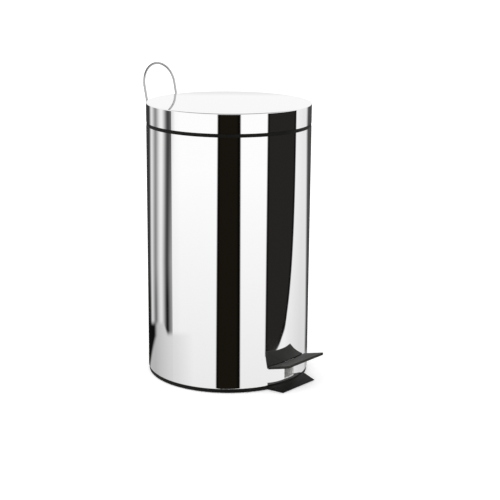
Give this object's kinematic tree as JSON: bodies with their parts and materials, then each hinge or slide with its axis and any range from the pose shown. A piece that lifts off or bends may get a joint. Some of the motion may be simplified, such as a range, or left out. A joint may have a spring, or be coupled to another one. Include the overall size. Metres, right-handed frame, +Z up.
{
  "type": "pedal bin",
  "caption": "Round mirror-polished steel pedal bin with hinged lid, foot pedal, wire carrying handle and lift-out plastic inner bucket.",
  "frame": {"origin": "on the floor, on the axis of the round body", "axes": "+Z up, -Y towards the pedal (front), +Y towards the hinge and handle, +X to the right of someone facing +Y"},
  "size_m": [0.25, 0.3128, 0.4681],
  "materials": {
    "body_steel": "mirror polished stainless steel",
    "lid_steel": "mirror polished stainless steel",
    "wire_steel": "bright steel wire",
    "plate_steel": "plain zinc-plated steel",
    "black_plastic": "fine-grained black plastic",
    "tread_plastic": "ribbed black plastic",
    "bucket_plastic": "satin black plastic",
    "pale_plastic": "natural nylon",
    "soft_rubber": "soft black rubber"
  },
  "bodies": {
    "bin": {"body_shell": "body_steel", "base_plate": "plate_steel", "base_ring": "black_plastic", "rubber_sole_ring": "soft_rubber", "slot_liner": "pale_plastic", "rim_ring": "black_plastic", "hinge_block": "black_plastic", "hinge_pin": "plate_steel", "lever_bracket": "plate_steel", "lever_pin": "plate_steel", "pin_clips": "plate_steel", "lower_rod_guide": "plate_steel", "upper_rod_guide": "plate_steel", "base_screws": "plate_steel", "bracket_rivets": "plate_steel", "hinge_screws": "plate_steel", "guide_rivets": "plate_steel"},
    "lid": {"lid_shell": "lid_steel", "lid_hinge_plate": "plate_steel", "lid_buffers": "soft_rubber", "lid_rivets": "plate_steel"},
    "handle": {"carry_handle": "wire_steel"},
    "pedal": {"pedal_lever": "plate_steel", "pedal_pad": "tread_plastic"},
    "rod": {"push_rod": "plate_steel"},
    "bucket": {"inner_bucket": "bucket_plastic"},
    "bail": {"bucket_bail": "wire_steel"}
  },
  "joints": [
    {"name": "lid_hinge", "type": "hinge", "parent": "bin", "child": "lid", "pos_m": [0, 0.1295, 0.398], "axis": [-1, 0, 0], "range_deg": [0, 72]},
    {"name": "handle_swing", "type": "hinge", "parent": "lid", "child": "handle", "pos_m": [0, 0.1295, 0.398], "axis": [-1, 0, 0], "range_deg": [0, 80]},
    {"name": "pedal_pivot", "type": "hinge", "parent": "bin", "child": "pedal", "pos_m": [0, 0, 0.015], "axis": [1, 0, 0], "range_deg": [0, 8.5]},
    {"name": "rod_lift", "type": "slide", "parent": "bin", "child": "rod", "axis": [0, 0, 1], "range_m": [0, 0.01745]},
    {"name": "bucket_lift", "type": "slide", "parent": "bin", "child": "bucket", "axis": [0, 0, 1], "range_m": [0, 0.0025]},
    {"name": "bail_swing", "type": "hinge", "parent": "bucket", "child": "bail", "pos_m": [0, 0, 0.3925], "axis": [-1, 0, 0], "range_deg": [0, 6]}
  ],
  "couplings": [
    {"joint": "pedal_pivot", "follows": "lid_hinge", "ratio": 0.11806},
    {"joint": "rod_lift", "follows": "lid_hinge", "m_per_rad": 0.013878}
  ]
}
